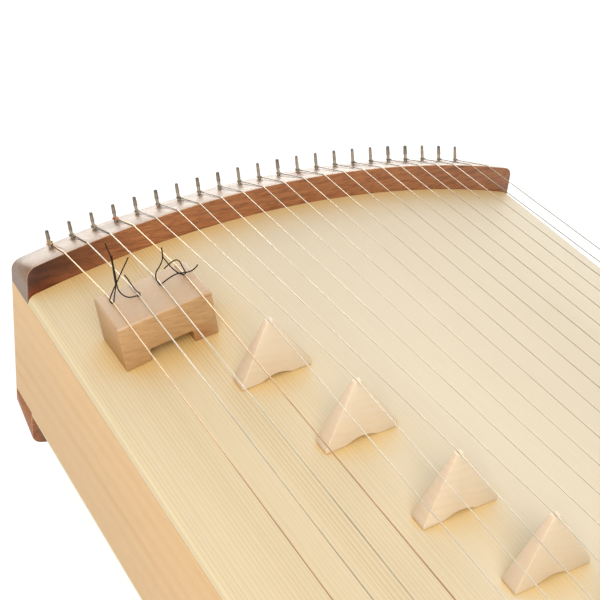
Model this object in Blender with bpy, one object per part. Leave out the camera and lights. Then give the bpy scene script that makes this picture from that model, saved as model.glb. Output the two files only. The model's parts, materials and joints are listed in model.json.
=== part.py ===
"""Kotamo: a box zither with an arched koto and tanpura side above and a monochord side below.

Metres, +Z up, X along the strings with the tuning pins at -X, and the tanpura strings at -Y.
The origin lies on the resting plane, under the middle of the box.
"""
import math

import bmesh
import bpy
from mathutils import Matrix, Vector

# Box
LENGTH = 1.180
WIDTH = 0.420
SIDE_HEIGHT = 0.0985
SIDE_THICKNESS = 0.012
BOARD_THICKNESS = 0.006
BOARD_RADIUS = 0.730
BOARD_ROUNDING = 0.0052
BOARD_ROUNDING_STEPS = 3
BRACE_WIDTH = 0.012
BRACE_DEPTH = 0.018
BRACES_PER_BOARD = 4
SPINE_WIDTH = 0.014
SPINE_DEPTH = 0.012
CLEARANCE = 0.0003

# End boards: an inner nut edge and a lower outer edge, each an arc across the box
END_THICKNESS = 0.034
NUT_RISE = 0.0215
NUT_RADIUS = 0.753
OUTER_RISE = 0.0092
OUTER_RADIUS = 0.740
CORNER_RADIUS = 0.009

# Feet
REST_CLEARANCE = 0.0117
FOOT_RADIUS = 0.012
FOOT_MARGIN = 0.055
FOOT_RECESS = 0.004

# Strings of the upper side
STRING_COUNT = 22
TANPURA_COUNT = 4
STRING_MARGIN = 0.0273
STRING_SHIFT = 0.0007
KOTO_WIRE = 0.0003
TANPURA_WIRE = 0.00045
STRING_SIDES = 5

# Tuning pins
PIN_SETBACK = 0.0275
PIN_MARGIN = 0.0331
PIN_OFFSET = 0.0062
PIN_LEAN = math.radians(22.0)
PIN_FAN_RADIUS = 1.97
PIN_RADIUS = 0.0012
PIN_HEAD = 0.0020
PIN_NECK = 0.0024
PIN_EXPOSED = 0.0125
PIN_DEPTH = 0.034
PIN_SHOULDER = 0.0054
PIN_SIDES = 8
PIN_HOLE_SIDES = 6
COIL_WIRE = 0.00035
COIL_TURNS = 2.0
COIL_PITCH = 0.00110
COIL_POINTS = 8
COIL_START = 0.0010
COIL_SIDES = 6

# Koto bridges: the speaking lengths to the far nut shrink from string to string
BRIDGE_WIDTH = 0.050
BRIDGE_THICKNESS = 0.013
BRIDGE_TIP = 0.0038
BRIDGE_TOP_WIDTH = 0.0045
BRIDGE_HEIGHT = 0.0428
BRIDGE_FOOT = 0.0140
BRIDGE_FOOT_HEIGHT = 0.0030
BRIDGE_ARCH = 0.0028
BRIDGE_NOTCH = 0.0008
FIRST_BRIDGE = 0.1714
SECOND_BRIDGE = 0.2493
THIRD_BRIDGE = 0.3304
TREBLE_RATIO = 0.918

# Tanpura bridges: the strings run closer together over them than over the nuts
TANPURA_SPACING = 0.0167
TANPURA_SHIFT = -0.0023
BLOCK_X = 0.0970
BLOCK_LENGTH = 0.0398
BLOCK_WIDTH = 0.0674
BLOCK_HEIGHT = 0.0352
BLOCK_SHIFT = 0.0072
BLOCK_CHAMFER = 0.0012
CUT_HEIGHT = 0.0096
CUT_WIDTH = 0.0318
CUT_CORNER = 0.0012
CUT_SHIFT = 0.0005
THREAD_SETBACK = 0.0152
THREAD_RADIUS = 0.00045

# Monochord side
MONO_COUNT = 20
MONO_MARGIN = 0.0865
MONO_WIRE = 0.0003
MONO_BRIDGE_X = 0.100
MONO_BRIDGE_THICKNESS = 0.010
MONO_BRIDGE_HEIGHT = 0.0235
MONO_BRIDGE_OVERHANG = 0.012

# Hitch pins
HITCH_SETBACK = 0.017
HITCH_RADIUS = 0.00125
HITCH_EXPOSED = 0.0055
HITCH_DEPTH = 0.014
HITCH_LEAN = math.radians(12.0)
HITCH_HOLE_RADIUS = 0.0016
HITCH_SIDES = 6
HITCH_PLATE_WIDTH = 0.008
HITCH_PLATE_THICKNESS = 0.0015
HITCH_PLATE_MARGIN = 0.006

MM = 0.001
HALF_WIDTH = WIDTH / 2
STRING_SPACING = (WIDTH - 2 * STRING_MARGIN) / (STRING_COUNT - 1)
PIN_SPACING = (WIDTH - 2 * PIN_MARGIN) / (STRING_COUNT - 1)
MONO_SPACING = (WIDTH - 2 * MONO_MARGIN) / (MONO_COUNT - 1)
FOOT_SPREAD = HALF_WIDTH - FOOT_MARGIN
PIN_HOLE_RADIUS = (PIN_RADIUS + CLEARANCE) / math.cos(math.pi / PIN_HOLE_SIDES)
INNER_X = LENGTH / 2 - END_THICKNESS
NUT_X = -INNER_X
PLY_RADIUS = BOARD_RADIUS - BOARD_THICKNESS
ARCH_DROP = BOARD_RADIUS - math.sqrt(PLY_RADIUS ** 2 - HALF_WIDTH ** 2)
HALF_HEIGHT = SIDE_HEIGHT / 2 + ARCH_DROP
MIDDLE_Z = HALF_HEIGHT + NUT_RISE + REST_CLEARANCE
CREST_Z = MIDDLE_Z + HALF_HEIGHT
INSIDE_Y = HALF_WIDTH - SIDE_THICKNESS - CLEARANCE
STATIONS = 16


def clear_scene():
    for item in list(bpy.data.objects):
        bpy.data.objects.remove(item, do_unlink=True)


def material(name, colour, roughness, metallic=0.0):
    """A plain Principled material."""
    made = bpy.data.materials.get(name)
    if made:
        return made
    made = bpy.data.materials.new(name)
    made.use_nodes = True
    shader = made.node_tree.nodes["Principled BSDF"]
    shader.inputs["Base Color"].default_value = (*colour, 1.0)
    shader.inputs["Roughness"].default_value = roughness
    shader.inputs["Metallic"].default_value = metallic
    return made


def closed_mesh(name, bm):
    """The bmesh as a mesh whose faces point out."""
    bmesh.ops.recalc_face_normals(bm, faces=bm.faces)
    mesh = bpy.data.meshes.new(name)
    bm.to_mesh(mesh)
    bm.free()
    return mesh


def joined(name, shapes):
    """One mesh from several overlapping shapes, joined one after the other."""
    pieces = []
    for i, bm in enumerate(shapes):
        pieces.append(bpy.data.objects.new("%s_piece_%d" % (name, i), closed_mesh(name, bm)))
        bpy.context.scene.collection.objects.link(pieces[-1])
    for piece in pieces[1:]:
        join = pieces[0].modifiers.new("join", "BOOLEAN")
        join.operation = "UNION"
        join.object = piece
    whole = pieces[0].evaluated_get(bpy.context.evaluated_depsgraph_get())
    mesh = bpy.data.meshes.new_from_object(whole)
    for piece in pieces:
        bpy.data.objects.remove(piece, do_unlink=True)
    return mesh


def finish(name, shape, surface, place=None, smooth=False):
    """Turn a bmesh or a mesh into a named object with one material."""
    mesh = closed_mesh(name, shape) if isinstance(shape, bmesh.types.BMesh) else shape
    mesh.materials.clear()
    mesh.materials.append(surface)
    if smooth:
        mesh.shade_smooth()
        mesh.set_sharp_from_angle(angle=math.radians(35))
    made = bpy.data.objects.new(name, mesh)
    bpy.context.scene.collection.objects.link(made)
    if place is not None:
        made.matrix_world = place
    return made


def arc(radius, crest, y):
    """Height of an arc across the box, whose top is at height crest."""
    return crest - radius + math.sqrt(radius ** 2 - y ** 2)


def board_top(y):
    return arc(BOARD_RADIUS, CREST_Z, y)


def board_under(y):
    return arc(PLY_RADIUS, CREST_Z - BOARD_THICKNESS, y)


def flip(z):
    """The same height on the lower side of the box."""
    return 2 * MIDDLE_Z - z


def stations(half):
    return [half * (2 * i / STATIONS - 1) for i in range(STATIONS + 1)]


def add_slab(bm, ys, top, under, x0, x1, lower=False):
    """A slab between two surfaces, given as heights at x and y, from x0 to x1."""
    columns = []
    for x in (x0, x1):
        for curve in (top, under):
            heights = [flip(curve(x, y)) if lower else curve(x, y) for y in ys]
            columns.append([bm.verts.new((x, y, z)) for y, z in zip(ys, heights)])
    a, b, c, d = columns
    for i in range(len(ys) - 1):
        bm.faces.new((a[i], a[i + 1], c[i + 1], c[i]))
        bm.faces.new((b[i], d[i], d[i + 1], b[i + 1]))
        bm.faces.new((a[i], b[i], b[i + 1], a[i + 1]))
        bm.faces.new((c[i], c[i + 1], d[i + 1], d[i]))
    for i in (0, -1):
        bm.faces.new((a[i], c[i], d[i], b[i]))


def add_prism(bm, near, far):
    """Join two outlines with as many points by side faces and close both ends."""
    a = [bm.verts.new(p) for p in near]
    b = [bm.verts.new(p) for p in far]
    bm.faces.new(a)
    bm.faces.new(b)
    for i in range(len(a)):
        j = (i + 1) % len(a)
        bm.faces.new((a[i], a[j], b[j], b[i]))


def add_rings(bm, rings):
    """A solid of revolution or loft through rings of points, closed at both ends."""
    loops = [[bm.verts.new(p) for p in ring] for ring in rings]
    for low, high in zip(loops, loops[1:]):
        for i in range(len(low)):
            j = (i + 1) % len(low)
            bm.faces.new((low[i], low[j], high[j], high[i]))
    bm.faces.new(loops[0])
    bm.faces.new(loops[-1])


def add_tube(bm, route, radius, sides):
    """A round tube along a route, closed at both ends."""
    route = [Vector(p) for p in route]
    tangents = []
    for i in range(len(route)):
        ahead = route[min(i + 1, len(route) - 1)] - route[i]
        behind = route[i] - route[max(i - 1, 0)]
        tangents.append((ahead.normalized() + behind.normalized()).normalized())
    side = tangents[0].orthogonal().normalized()
    rings = []
    for point, tangent in zip(route, tangents):
        side = (side - tangent * side.dot(tangent)).normalized()
        other = tangent.cross(side)
        angles = [2 * math.pi * k / sides for k in range(sides)]
        rings.append([point + radius * (math.cos(a) * side + math.sin(a) * other) for a in angles])
    add_rings(bm, rings)


def circle(radius, z, sides):
    angles = [2 * math.pi * (k + 0.5) / sides for k in range(sides)]
    return [(radius * math.cos(a), radius * math.sin(a), z) for a in angles]


def square(width, z):
    """Eight points round a square, at its corners and the middles of its sides."""
    half = width / 2
    points = []
    for k in range(PIN_SIDES):
        a = 2 * math.pi * (k + 0.5) / PIN_SIDES
        reach = half / max(abs(math.cos(a)), abs(math.sin(a)))
        points.append((reach * math.cos(a), reach * math.sin(a), z))
    return points


def end_outline(radius, rise):
    """Outline of an end board at one of its faces: arched top, round corners, side notches."""
    crest = CREST_Z + rise
    corner_y = HALF_WIDTH - CORNER_RADIUS
    corner_z = arc(radius - CORNER_RADIUS, crest - CORNER_RADIUS, corner_y)
    start = math.asin(corner_y / (radius - CORNER_RADIUS))
    flat = radius * math.sin(start)
    right = [(y, arc(radius, crest, y)) for y in stations(flat) if y > -CLEARANCE]
    steps = 5
    for i in range(1, steps + 1):
        a = start + (math.pi / 2 - start) * i / steps
        right.append((corner_y + CORNER_RADIUS * math.sin(a), corner_z + CORNER_RADIUS * math.cos(a)))
    right.append((HALF_WIDTH, board_under(HALF_WIDTH)))
    right.append((INSIDE_Y, board_under(INSIDE_Y)))
    left = [(-y, z) for y, z in reversed(right[1:])]
    top = left + right
    return top + [(y, flip(z)) for y, z in reversed(top)]


def pin_axis(y, lower=False):
    """Direction of a tuning pin that stands at width y: leaning out and fanning with the arch."""
    up = -1.0 if lower else 1.0
    return Vector((-math.tan(PIN_LEAN), y / PIN_FAN_RADIUS, up)).normalized()


def rail_top(y, setback):
    """Height of an end board's top at a distance behind its nut edge."""
    share = setback / END_THICKNESS
    nut = arc(NUT_RADIUS, CREST_Z + NUT_RISE, y)
    outer = arc(OUTER_RADIUS, CREST_Z + OUTER_RISE, y)
    return nut + (outer - nut) * share


def frame_on(axis, point):
    """A placing with Z along axis and X as near as it can be to the box's X."""
    side = Vector((1, 0, 0))
    side = (side - axis * side.dot(axis)).normalized()
    other = axis.cross(side)
    turn = Matrix((side, other, axis)).transposed().to_4x4()
    return Matrix.Translation(point) @ turn


def pin_frame(index):
    y = STRING_SHIFT + (index - (STRING_COUNT - 1) / 2) * PIN_SPACING - PIN_OFFSET
    point = Vector((NUT_X - PIN_SETBACK, y, rail_top(y, PIN_SETBACK)))
    return frame_on(pin_axis(y), point)


def mono_y(index):
    return (index - (MONO_COUNT - 1) / 2) * MONO_SPACING


def mono_pin_frame(index):
    y = mono_y(index) - PIN_RADIUS - MONO_WIRE - CLEARANCE
    point = Vector((NUT_X - PIN_SETBACK, y, flip(rail_top(y, PIN_SETBACK))))
    return frame_on(pin_axis(y, lower=True), point)


def hitch_frame(y, lower):
    up = -1.0 if lower else 1.0
    axis = Vector((math.tan(HITCH_LEAN), 0, up)).normalized()
    z = rail_top(y, HITCH_SETBACK)
    return frame_on(axis, Vector((INNER_X + HITCH_SETBACK, y, flip(z) if lower else z)))


def add_turned(bm, frame, rings):
    add_rings(bm, [[frame @ Vector(p) for p in ring] for ring in rings])


def string_y(index):
    return STRING_SHIFT + (index - (STRING_COUNT - 1) / 2) * STRING_SPACING


def nut_point(y, wire, end, lower=False):
    """Middle of a string where it crosses a nut edge; end is -1 at the pins and 1 at the far end."""
    z = arc(NUT_RADIUS, CREST_Z + NUT_RISE, y) + wire + CLEARANCE
    return (end * (INNER_X + CLEARANCE), y, flip(z) if lower else z)


def coil_end(frame, wire):
    """Where the string goes on from the last turn of a pin's coil."""
    reach = PIN_RADIUS + CLEARANCE + COIL_WIRE
    return frame @ Vector((CLEARANCE, reach + wire - COIL_WIRE, COIL_START))


def hitch_end(y, lower=False):
    """The string's end on the middle of its hitch pin, above the plate."""
    return hitch_frame(y, lower) @ Vector((0, 0, (HITCH_PLATE_THICKNESS + HITCH_EXPOSED) / 2))


def speaking_lengths():
    """Distance of each koto bridge from the far nut."""
    whole = 2 * INNER_X
    lengths = [whole - FIRST_BRIDGE, whole - SECOND_BRIDGE, whole - THIRD_BRIDGE]
    while len(lengths) < STRING_COUNT - TANPURA_COUNT:
        lengths.append(lengths[-1] * TREBLE_RATIO)
    return lengths


def stand_on_board(x, y):
    """A placing on the soundboard, upright to its arch."""
    turn = math.asin(y / BOARD_RADIUS)
    place = Matrix.Translation((x, y, board_top(y)))
    return place @ Matrix.Rotation(-turn, 4, "X")


def bridge_frame(order):
    """Placing of a koto bridge: its tip is right under its string."""
    turn = math.asin(string_y(order + TANPURA_COUNT) / (BOARD_RADIUS + BRIDGE_HEIGHT))
    return stand_on_board(INNER_X - speaking_lengths()[order], BOARD_RADIUS * math.sin(turn))


def seat(u):
    """Height of a foot's underside above the soundboard's tangent plane."""
    return math.sqrt(BOARD_RADIUS ** 2 - u ** 2) - BOARD_RADIUS + CLEARANCE


def koto_bridge_mesh():
    """A wedge-shaped triangle on two feet, with an arch between them and a notch at its tip."""
    half = BRIDGE_WIDTH / 2
    inner = half - BRIDGE_FOOT
    tip = BRIDGE_TOP_WIDTH / 2
    right = [(half, BRIDGE_FOOT_HEIGHT), (half, seat(half)), (inner, seat(inner))]
    for share in (0.75, 0.5, 0.25):
        right.append((inner * share, seat(inner * share) + BRIDGE_ARCH * math.cos(math.pi / 2 * share)))
    right = [(BRIDGE_NOTCH, BRIDGE_HEIGHT), (tip, BRIDGE_HEIGHT)] + right
    left = [(-u, n) for u, n in reversed(right)]
    outline = [(0, BRIDGE_HEIGHT - BRIDGE_NOTCH)] + right + [(0, seat(0) + BRIDGE_ARCH)] + left

    def thickness(n):
        share = n / BRIDGE_HEIGHT
        return BRIDGE_THICKNESS + (BRIDGE_TIP - BRIDGE_THICKNESS) * share

    bm = bmesh.new()
    near = [(-thickness(n) / 2, u, n) for u, n in outline]
    far = [(thickness(n) / 2, u, n) for u, n in outline]
    add_prism(bm, near, far)
    return bm


def tanpura_bridge_mesh():
    """A block with a cut-out below and eased top edges."""
    outline = []
    for side in (1, -1):
        half = side * BLOCK_WIDTH / 2
        wall = CUT_SHIFT + side * CUT_WIDTH / 2
        run = [(half, BLOCK_HEIGHT), (half, seat(half)), (wall, seat(wall)), (wall, CUT_HEIGHT - CUT_CORNER),
               (wall - side * CUT_CORNER, CUT_HEIGHT)]
        outline += run[::side]
    bm = bmesh.new()
    add_prism(bm, [(-BLOCK_LENGTH / 2, u, n) for u, n in outline],
              [(BLOCK_LENGTH / 2, u, n) for u, n in outline])
    top = [e for e in bm.edges if all(abs(v.co.z - BLOCK_HEIGHT) < CLEARANCE for v in e.verts)]
    bmesh.ops.bevel(bm, geom=top, offset=BLOCK_CHAMFER, segments=1, affect="EDGES")
    return bm


TANPURA_MIDDLE = string_y((TANPURA_COUNT - 1) / 2) + TANPURA_SHIFT
BLOCK_Y = TANPURA_MIDDLE + BLOCK_SHIFT
EDGE_LIFT = TANPURA_WIRE + CLEARANCE
THREAD_LIFT = TANPURA_WIRE + 2 * THREAD_RADIUS + 2 * CLEARANCE


def block_frame(end):
    """Placing of a tanpura bridge; end is -1 near the pins and 1 near the far nut."""
    return stand_on_board(end * (INNER_X - BLOCK_X), BLOCK_Y)


def block_crossing(index, end, setback=BLOCK_CHAMFER, lift=EDGE_LIFT):
    """Middle of a tanpura string over a tanpura bridge, and its place across the bridge.

    The setback is from the bridge's edge on the nut's side, and the lift is above its top.
    """
    frame = block_frame(end)
    y = TANPURA_MIDDLE + (index - (TANPURA_COUNT - 1) / 2) * TANPURA_SPACING
    level = BLOCK_HEIGHT + lift
    turn = math.asin(BLOCK_Y / BOARD_RADIUS)
    u = (y - frame.translation.y - level * math.sin(turn)) / math.cos(turn)
    return frame @ Vector((end * (BLOCK_LENGTH / 2 - setback), u, level)), u


def smooth_route(points, steps):
    """A Catmull-Rom curve through the points."""
    points = [Vector(p) for p in points]
    path = [2 * points[0] - points[1]] + points + [2 * points[-1] - points[-2]]
    route = []
    for p0, p1, p2, p3 in zip(path, path[1:], path[2:], path[3:]):
        for k in range(steps):
            t = k / steps
            route.append(0.5 * (2 * p1 + (p2 - p0) * t + (2 * p0 - 5 * p1 + 4 * p2 - p3) * t * t
                                + (3 * p1 - p0 - 3 * p2 + p3) * t ** 3))
    route.append(points[-1])
    return route


def loop_under(u, x, sense):
    """Four points of a thread that passes under a string at width u, starting on one side."""
    ring = TANPURA_WIRE + CLEARANCE + THREAD_RADIUS
    points = []
    for degrees in (0, 60, 120, 180):
        a = math.radians(degrees)
        points.append((x, u + sense * ring * math.cos(a), THREAD_LIFT - ring * math.sin(a)))
    return points


def thread_routes():
    """The two threads on the near tanpura bridge: each goes under two strings, with both ends up."""
    line = -BLOCK_LENGTH / 2 + THREAD_SETBACK
    u1, u2, u3, u4 = (block_crossing(i, -1, THREAD_SETBACK, THREAD_LIFT)[1] for i in range(TANPURA_COUNT))

    def by(u, *points):
        """Places from a string at width u: along it, across it and above the bridge."""
        return [(line + along * MM, u + across * MM, up * MM) for along, across, up in points]

    outer = by(u1, (-12.3, 7.1, 40.1), (-8.6, 7.6, 32.0), (-4.5, 5.9, 19.8), (-2.9, 4.9, 12.2))
    outer += by(u1, (-2.4, 3.1, 7.5)) + loop_under(u1, line, 1)
    outer += by(u1, (-3.4, 0.8, 7.0), (-4.7, 4.6, 11.9), (-2.8, 7.0, 11.0), (0.0, 7.4, 5.2))
    outer += by(u1, (1.0, 10.8, 2.6)) + loop_under(u2, line, -1)
    outer += by(u2, (0.2, -0.9, 4.9), (-0.9, -2.3, 9.6), (-3.7, -4.6, 17.0))
    inner = by(u3, (-9.3, 8.3, 22.3), (-5.8, 6.0, 15.2), (-2.7, -0.4, 10.6), (-1.3, -2.4, 7.6))
    inner += by(u3, (-0.4, -2.2, 4.0)) + loop_under(u3, line, -1)
    inner += by(u3, (0.2, 3.1, 2.9), (0.0, 6.6, 3.8), (-0.1, 10.3, 4.2))
    inner += by(u4, (-0.3, -3.2, 2.9)) + loop_under(u4, line, -1)
    inner += by(u4, (-0.4, 1.3, 3.4), (-1.3, 0.2, 6.9), (-2.5, -0.5, 10.6), (-4.1, -3.5, 12.2))
    inner += by(u4, (-3.3, -11.9, 9.7))
    return [smooth_route(points, 2) for points in (outer, inner)]


def least_gap(routes, radius):
    """Smallest gap between tubes, and between stretches of one tube that lie apart on it."""
    least = 1.0
    skip = 4
    for a, one in enumerate(routes):
        for b, other in enumerate(routes[a:], a):
            for i, p in enumerate(one):
                start = i + skip if a == b else 0
                for q in other[start:]:
                    least = min(least, (p - q).length - 2 * radius)
    return least


def build_boards(spruce, maple, walnut):
    edge = INNER_X - CLEARANCE
    for name, lower in (("upper_soundboard", False), ("lower_soundboard", True)):
        bm = bmesh.new()
        add_slab(bm, stations(HALF_WIDTH), lambda x, y: board_top(y), lambda x, y: board_under(y),
                 -edge, edge, lower)
        outer = flip(board_top(HALF_WIDTH)) if lower else board_top(HALF_WIDTH)
        long_edges = []
        for e in bm.edges:
            a, b = (v.co for v in e.verts)
            if abs(a.z - outer) < CLEARANCE and abs(b.z - outer) < CLEARANCE and abs(a.x - b.x) > edge:
                long_edges.append(e)
        bmesh.ops.bevel(bm, geom=long_edges, offset=BOARD_ROUNDING, segments=BOARD_ROUNDING_STEPS,
                        profile=0.5, affect="EDGES")
        finish(name, bm, spruce)

    for name, sign in (("side_panel_tanpura_side", -1), ("side_panel_koto_side", 1)):
        bm = bmesh.new()
        ys = sorted((sign * HALF_WIDTH, sign * (HALF_WIDTH - SIDE_THICKNESS)))
        add_slab(bm, ys, lambda x, y: board_under(y) - CLEARANCE,
                 lambda x, y: flip(board_under(y) - CLEARANCE), -LENGTH / 2, LENGTH / 2)
        finish(name, bm, maple)

    for name, end in (("end_board_pin_end", -1), ("end_board_far_end", 1)):
        bm = bmesh.new()
        near = [(end * INNER_X, y, z) for y, z in end_outline(NUT_RADIUS, NUT_RISE)]
        far = [(end * LENGTH / 2, y, z) for y, z in end_outline(OUTER_RADIUS, OUTER_RISE)]
        add_prism(bm, near, far)
        board = finish(name, bm, walnut)
        cut = board.modifiers.new("holes", "BOOLEAN")
        cut.operation = "DIFFERENCE"
        cut.object = hole_cutter(end)


def foot_ceiling():
    """Height of the flat seat of a foot in an end board's underside."""
    lowest = flip(rail_top(FOOT_SPREAD - FOOT_RADIUS, END_THICKNESS / 2 - FOOT_RADIUS))
    highest = flip(rail_top(FOOT_SPREAD + FOOT_RADIUS, END_THICKNESS / 2 + FOOT_RADIUS))
    return max(lowest, highest) + FOOT_RECESS


def foot_rings(end, sign, radius, low, high):
    x = end * (INNER_X + END_THICKNESS / 2)
    frame = Matrix.Translation((x, sign * FOOT_SPREAD, 0))
    return frame, [circle(radius, low, 16), circle(radius, high, 16)]


def hole_cutter(end):
    """All holes of one end board in one hidden solid."""
    bm = bmesh.new()
    for sign in (-1, 1):
        frame, rings = foot_rings(end, sign, FOOT_RADIUS + CLEARANCE, -CLEARANCE, foot_ceiling())
        add_turned(bm, frame, rings)
    if end < 0:
        frames = [pin_frame(i) for i in range(STRING_COUNT)]
        frames += [mono_pin_frame(i) for i in range(MONO_COUNT)]
        radius, depth, sides = PIN_HOLE_RADIUS, PIN_DEPTH, PIN_HOLE_SIDES
    else:
        frames = all_hitch_frames()
        radius, depth, sides = HITCH_HOLE_RADIUS, HITCH_DEPTH, HITCH_SIDES
    for frame in frames:
        rings = [circle(radius, -depth - CLEARANCE, sides), circle(radius, 2 * radius, sides)]
        add_turned(bm, frame, rings)
    name = "holes_pin_end" if end < 0 else "holes_far_end"
    cutter = finish(name, bm, material("cutter", (1, 0, 0), 1))
    cutter.hide_render = True
    cutter.display_type = "WIRE"
    return cutter


def all_hitch_frames():
    frames = []
    for i in range(STRING_COUNT):
        frames.append(hitch_frame(string_y(i), False))
    for i in range(MONO_COUNT):
        frames.append(hitch_frame(mono_y(i), True))
    return frames


def build_braces(spruce):
    """Under each soundboard, cross braces joined by a spine along the middle."""
    for name, lower in (("upper_brace_frame", False), ("lower_brace_frame", True)):
        spine = bmesh.new()
        depth = BRACE_DEPTH - SPINE_DEPTH
        reach = INNER_X * (1 - 2 / (BRACES_PER_BOARD + 1)) + BRACE_WIDTH
        add_slab(spine, stations(SPINE_WIDTH / 2), lambda x, y: board_under(y) - CLEARANCE - depth,
                 lambda x, y: board_under(0) - CLEARANCE - BRACE_DEPTH - depth, -reach, reach, lower)
        braces = bmesh.new()
        for i in range(BRACES_PER_BOARD):
            middle = INNER_X * (2 * (i + 1) / (BRACES_PER_BOARD + 1) - 1)
            add_slab(braces, stations(INSIDE_Y), lambda x, y: board_under(y) - CLEARANCE,
                     lambda x, y: board_under(y) - CLEARANCE - BRACE_DEPTH,
                     middle - BRACE_WIDTH / 2, middle + BRACE_WIDTH / 2, lower)
        finish(name, joined(name, [spine, braces]), spruce)


def build_feet(rubber):
    places = [(end, sign) for end in (-1, 1) for sign in (-1, 1)]
    for number, (end, sign) in enumerate(places, 1):
        bm = bmesh.new()
        frame, rings = foot_rings(end, sign, FOOT_RADIUS, 0, foot_ceiling() - CLEARANCE)
        add_turned(bm, frame, rings)
        finish("rubber_foot_%d" % number, bm, rubber, smooth=True)


def pin_rings():
    """A round shank and a square head with a rounded top."""
    shank = [circle(PIN_RADIUS, -PIN_DEPTH, PIN_SIDES), circle(PIN_RADIUS, PIN_SHOULDER, PIN_SIDES)]
    head = [square(PIN_NECK, PIN_SHOULDER + PIN_NECK / 4), square(PIN_HEAD, PIN_EXPOSED - PIN_HEAD / 3)]
    return shank + head + [square(PIN_HEAD / 2, PIN_EXPOSED)]


def build_tuning_pins(steel):
    """Each pin with the coil of its string, whose end goes into the pin; both turn together."""
    turns = round(COIL_TURNS * COIL_POINTS)
    reach = PIN_RADIUS + CLEARANCE + COIL_WIRE
    route = []
    for i in range(turns + 1):
        a = math.pi / 2 + 2 * math.pi * (turns - i) / COIL_POINTS
        z = COIL_START + COIL_PITCH * (turns - i) / COIL_POINTS
        route.append(Vector((reach * math.cos(a), reach * math.sin(a), z)))
    near = [(p - q).length for i, p in enumerate(route) for q in route[i + COIL_POINTS - 1:]]
    gap = min(near) - 2 * COIL_WIRE
    print("coil: least gap to itself %.2f mm" % (gap * 1000))
    route.insert(0, Vector((0, 0, route[0].z)).lerp(route[0], 0.3))
    pin = bmesh.new()
    add_rings(pin, pin_rings())
    coil = bmesh.new()
    add_tube(coil, route, COIL_WIRE, COIL_SIDES)
    mesh = joined("tuning_pin", [pin, coil])
    for index in range(STRING_COUNT):
        finish("tuning_pin_%02d" % (index + 1), mesh.copy(), steel, pin_frame(index), smooth=True)


def build_koto_bridges(maple):
    for order in range(STRING_COUNT - TANPURA_COUNT):
        finish("koto_bridge_%02d" % (order + 1), koto_bridge_mesh(), maple, bridge_frame(order))


def build_tanpura(wood, cotton):
    for name, end in (("tanpura_bridge_pin_end", -1), ("tanpura_bridge_far_end", 1)):
        finish(name, tanpura_bridge_mesh(), wood, block_frame(end))
    routes = thread_routes()
    print("threads: least gap %.2f mm" % (least_gap(routes, THREAD_RADIUS) * 1000))
    frame = block_frame(-1) @ Matrix.Translation((0, 0, BLOCK_HEIGHT))
    for name, route in zip(("bridge_thread_outer", "bridge_thread_inner"), routes):
        bm = bmesh.new()
        add_tube(bm, route, THREAD_RADIUS, 6)
        finish(name, bm, cotton, frame, smooth=True)


def hitch_plate(half, lower):
    """A strip across the far end board, which the hitch pins hold down."""
    bm = bmesh.new()
    middle = INNER_X + HITCH_SETBACK
    add_slab(bm, stations(half), lambda x, y: rail_top(y, x - INNER_X) + CLEARANCE + HITCH_PLATE_THICKNESS,
             lambda x, y: rail_top(y, x - INNER_X) + CLEARANCE,
             middle - HITCH_PLATE_WIDTH / 2, middle + HITCH_PLATE_WIDTH / 2, lower)
    return bm


def hitch_pins(ys, lower):
    bm = bmesh.new()
    rings = [circle(HITCH_RADIUS, level, HITCH_SIDES) for level in (-HITCH_DEPTH, HITCH_EXPOSED)]
    for y in ys:
        add_turned(bm, hitch_frame(y, lower), rings)
    return bm


def build_upper_strings(steel):
    """All strings of the upper side, on the plate and pins that hold their far ends."""
    strings = bmesh.new()
    ys = [string_y(index) for index in range(STRING_COUNT)]
    for order, length in enumerate(speaking_lengths()):
        index = order + TANPURA_COUNT
        tip = bridge_frame(order) @ Vector((0, 0, BRIDGE_HEIGHT))
        x = INNER_X - length
        route = [coil_end(pin_frame(index), KOTO_WIRE), nut_point(ys[index], KOTO_WIRE, -1),
                 (x - BRIDGE_TIP / 2, ys[index], tip.z), (x + BRIDGE_TIP / 2, ys[index], tip.z),
                 nut_point(ys[index], KOTO_WIRE, 1), hitch_end(ys[index])]
        add_tube(strings, route, KOTO_WIRE, STRING_SIDES)
    for index in range(TANPURA_COUNT):
        route = [coil_end(pin_frame(index), TANPURA_WIRE), nut_point(ys[index], TANPURA_WIRE, -1),
                 block_crossing(index, -1)[0], block_crossing(index, -1, THREAD_SETBACK, THREAD_LIFT)[0],
                 block_crossing(index, 1)[0], nut_point(ys[index], TANPURA_WIRE, 1), hitch_end(ys[index])]
        add_tube(strings, route, TANPURA_WIRE, STRING_SIDES)
    half = max(abs(ys[0]), ys[-1]) + HITCH_PLATE_MARGIN
    shapes = [hitch_plate(half, False), hitch_pins(ys, False), strings]
    finish("upper_string_set", joined("upper_string_set", shapes), steel, smooth=True)


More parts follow.
